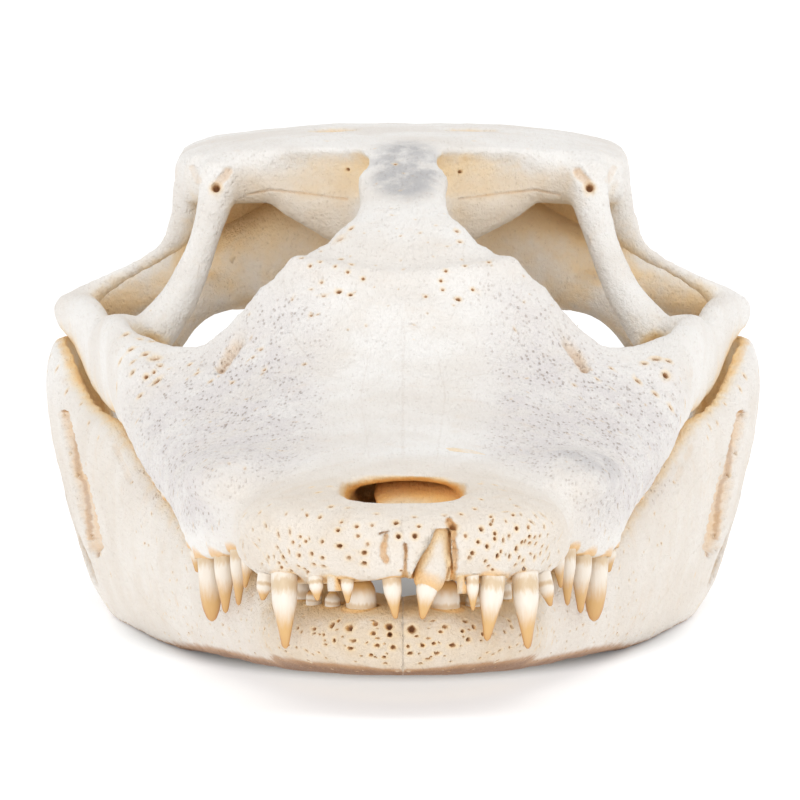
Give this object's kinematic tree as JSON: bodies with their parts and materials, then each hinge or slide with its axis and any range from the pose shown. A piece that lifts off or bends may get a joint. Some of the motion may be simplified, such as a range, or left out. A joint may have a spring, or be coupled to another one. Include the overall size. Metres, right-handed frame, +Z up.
{
  "type": "caiman skull",
  "caption": "Skull of a young caiman with its lower jaw closed under it: flat skull table, open eye sockets, pitted snout and peg teeth, resting on the jaw's lower edges.",
  "frame": {"origin": "middle of the skull's bounding box, on the surface that the lower jaw rests on", "axes": "+Z up, -Y towards the tip of the snout, +X towards the animal's own left side"},
  "size_m": [0.1084, 0.2034, 0.0719],
  "materials": {
    "bone": "dry cream bone, matt with a faint sheen",
    "enamel": "amber tooth, smooth and a little glossy"
  },
  "bodies": {
    "root": {"cranium": "bone", "mandible_left": "bone", "mandible_right": "bone", "tooth_premaxilla_left_1": "enamel", "tooth_premaxilla_left_2": "enamel", "tooth_premaxilla_left_3": "enamel", "tooth_premaxilla_left_4": "enamel", "tooth_premaxilla_left_5": "enamel", "tooth_maxilla_left_1": "enamel", "tooth_maxilla_left_2": "enamel", "tooth_maxilla_left_3": "enamel", "tooth_maxilla_left_4": "enamel", "tooth_maxilla_left_5": "enamel", "tooth_maxilla_left_6": "enamel", "tooth_maxilla_left_7": "enamel", "tooth_maxilla_left_8": "enamel", "tooth_maxilla_left_9": "enamel", "tooth_maxilla_left_10": "enamel", "tooth_maxilla_left_11": "enamel", "tooth_maxilla_left_12": "enamel", "tooth_maxilla_left_13": "enamel", "tooth_maxilla_left_14": "enamel", "tooth_dentary_left_1": "enamel", "tooth_dentary_left_2": "enamel", "tooth_dentary_left_3": "enamel", "tooth_dentary_left_4": "enamel", "tooth_dentary_left_5": "enamel", "tooth_dentary_left_6": "enamel", "tooth_dentary_left_7": "enamel", "tooth_dentary_left_8": "enamel", "tooth_dentary_left_9": "enamel", "tooth_premaxilla_right_1": "enamel", "tooth_premaxilla_right_2": "enamel", "tooth_premaxilla_right_3": "enamel", "tooth_premaxilla_right_4": "enamel", "tooth_premaxilla_right_5": "enamel", "tooth_maxilla_right_1": "enamel", "tooth_maxilla_right_2": "enamel", "tooth_maxilla_right_3": "enamel", "tooth_maxilla_right_4": "enamel", "tooth_maxilla_right_5": "enamel", "tooth_maxilla_right_6": "enamel", "tooth_maxilla_right_7": "enamel", "tooth_maxilla_right_8": "enamel", "tooth_maxilla_right_9": "enamel", "tooth_maxilla_right_10": "enamel", "tooth_maxilla_right_11": "enamel", "tooth_maxilla_right_12": "enamel", "tooth_maxilla_right_13": "enamel", "tooth_maxilla_right_14": "enamel", "tooth_dentary_right_1": "enamel", "tooth_dentary_right_2": "enamel", "tooth_dentary_right_3": "enamel", "tooth_dentary_right_4": "enamel", "tooth_dentary_right_5": "enamel", "tooth_dentary_right_6": "enamel", "tooth_dentary_right_7": "enamel", "tooth_dentary_right_8": "enamel", "tooth_dentary_right_9": "enamel"}
  },
  "joints": []
}
